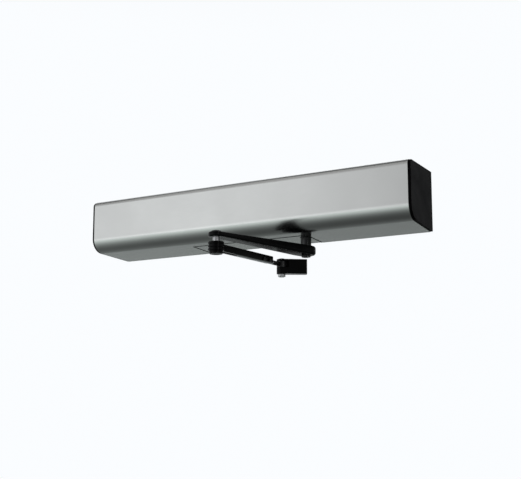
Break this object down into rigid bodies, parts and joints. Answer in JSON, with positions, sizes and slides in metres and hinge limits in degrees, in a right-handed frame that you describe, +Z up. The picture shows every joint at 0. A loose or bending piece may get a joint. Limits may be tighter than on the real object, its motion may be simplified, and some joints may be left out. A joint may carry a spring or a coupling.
{
  "type": "swing door operator",
  "caption": "Swing door operator: a long aluminium housing with black end caps, a geared motor and closing spring inside it, and a jointed push arm below that ends in a door shoe.",
  "frame": {"origin": "centre of the wall fixing holes, in the plane of the wall", "axes": "+X to the right along the wall as seen from the front, +Y into the wall, +Z up"},
  "size_m": [0.72, 0.2897, 0.193],
  "materials": {
    "cover_aluminium": "satin anodised, drawn along its length",
    "cap_plastic": "fine moulded grain",
    "grey_plastic": "moulded",
    "black_plastic": "moulded",
    "pale_plastic": "moulded",
    "terminal_plastic": "moulded",
    "rocker_plastic": "gloss",
    "black_rubber": "matt",
    "plated_steel": "zinc plated",
    "cast_aluminium": "as cast",
    "sink_aluminium": "dull anodised",
    "bearing_steel": "ground",
    "gear_steel": "machined, lightly greased",
    "gear_brass": "machined",
    "spring_steel": "oiled",
    "rod_steel": "bright",
    "black_steel": "black oxide, semi-gloss",
    "arm_paint": "black powder coat",
    "motor_paint": "black paint",
    "winding": "wire and core wrapped in clear film",
    "board_laminate": "lacquered",
    "capacitor_sleeve": "shrunk sleeve"
  },
  "bodies": {
    "chassis_body": {"back_plate": "plated_steel", "inlet_grommet": "black_rubber", "right_end_frame": "grey_plastic", "left_end_frame": "grey_plastic", "slot_plate": "cover_aluminium", "gear_housing": "cast_aluminium", "lower_bearing": "bearing_steel", "gear_housing_lid": "cast_aluminium", "bridge_posts": "plated_steel", "bearing_bridge": "cast_aluminium", "upper_bearing": "bearing_steel", "motor_can": "motor_paint", "motor_end_bell": "cast_aluminium", "encoder": "black_plastic", "motor_saddle": "cast_aluminium", "motor_strap": "plated_steel", "rack_guide": "pale_plastic", "closing_spring": "spring_steel", "spring_seat": "plated_steel", "spring_bracket": "plated_steel", "spring_adjuster": "gear_brass", "transformer": "winding", "transformer_clamp": "plated_steel", "transformer_pad": "black_rubber", "control_tray": "plated_steel", "circuit_board": "board_laminate", "board_capacitors": "capacitor_sleeve", "board_relays": "black_plastic", "heat_sink": "sink_aluminium", "control_terminals": "terminal_plastic", "mains_switch": "black_plastic", "mains_terminals": "pale_plastic", "chassis_screws": "plated_steel", "board_screws": "plated_steel"},
    "spindle_body": {"spindle": "black_steel", "spindle_gear": "gear_steel", "rack_pinion": "gear_steel", "main_arm": "arm_paint", "arm_screw": "black_steel", "elbow_pin": "black_steel"},
    "step_body": {"step_shaft": "gear_steel", "bevel_gear": "gear_brass"},
    "motor_shaft_body": {"motor_shaft": "gear_steel"},
    "rack_body": {"closer_rack": "gear_steel", "spring_plunger": "gear_steel"},
    "forearm_body": {"elbow_knuckle": "arm_paint", "forearm_sleeve": "arm_paint", "clamp_screws": "black_steel"},
    "rod_body": {"forearm_rod": "rod_steel"},
    "shoe_body": {"door_shoe": "arm_paint", "shoe_pivot_pin": "plated_steel", "shoe_pivot_nut": "plated_steel"},
    "cover_body": {"cover": "cover_aluminium", "left_end_cap": "cap_plastic", "right_end_cap": "cap_plastic"},
    "rocker_body": {"switch_rocker": "rocker_plastic"}
  },
  "joints": [
    {"name": "spindle_turn", "type": "hinge", "parent": "chassis_body", "child": "spindle_body", "pos_m": [0.12, -0.056, 0], "axis": [0, 0, -1], "range_deg": [0, 110], "stiffness_Nm_per_rad": 4, "springref_deg": -57.3},
    {"name": "step_turn", "type": "hinge", "parent": "chassis_body", "child": "step_body", "pos_m": [0.064, -0.056, 0], "axis": [0, 0, 1], "range_deg": [0, 404]},
    {"name": "motor_turn", "type": "hinge", "parent": "chassis_body", "child": "motor_shaft_body", "pos_m": [0.06, -0.056, -0.001], "axis": [-1, 0, 0], "range_deg": [0, 1212]},
    {"name": "rack_slide", "type": "slide", "parent": "chassis_body", "child": "rack_body", "axis": [1, 0, 0], "range_m": [0, 0.0289], "deforming": ["closing_spring"]},
    {"name": "elbow_turn", "type": "hinge", "parent": "spindle_body", "child": "forearm_body", "pos_m": [0.04708, -0.27519, 0], "axis": [0, 0, 1], "range_deg": [-30, 160]},
    {"name": "rod_slide", "type": "slide", "parent": "forearm_body", "child": "rod_body", "axis": [0.1208, 0.9927, 0], "range_m": [-0.02, 0.05]},
    {"name": "shoe_turn", "type": "hinge", "parent": "rod_body", "child": "shoe_body", "pos_m": [0.07228, -0.06822, 0], "axis": [0, 0, 1], "range_deg": [-75, 60]},
    {"name": "cover_pull", "type": "slide", "parent": "chassis_body", "child": "cover_body", "axis": [0, -1, 0], "range_m": [0, 0.15]},
    {"name": "rocker_tilt", "type": "hinge", "parent": "chassis_body", "child": "rocker_body", "pos_m": [-0.298, -0.04, -0.012], "axis": [1, 0, 0], "range_deg": [0, 16]}
  ],
  "couplings": [
    {"joint": "step_turn", "follows": "spindle_turn", "ratio": 3.6667},
    {"joint": "motor_turn", "follows": "spindle_turn", "ratio": 11},
    {"joint": "rack_slide", "follows": "spindle_turn", "m_per_rad": 0.015}
  ]
}
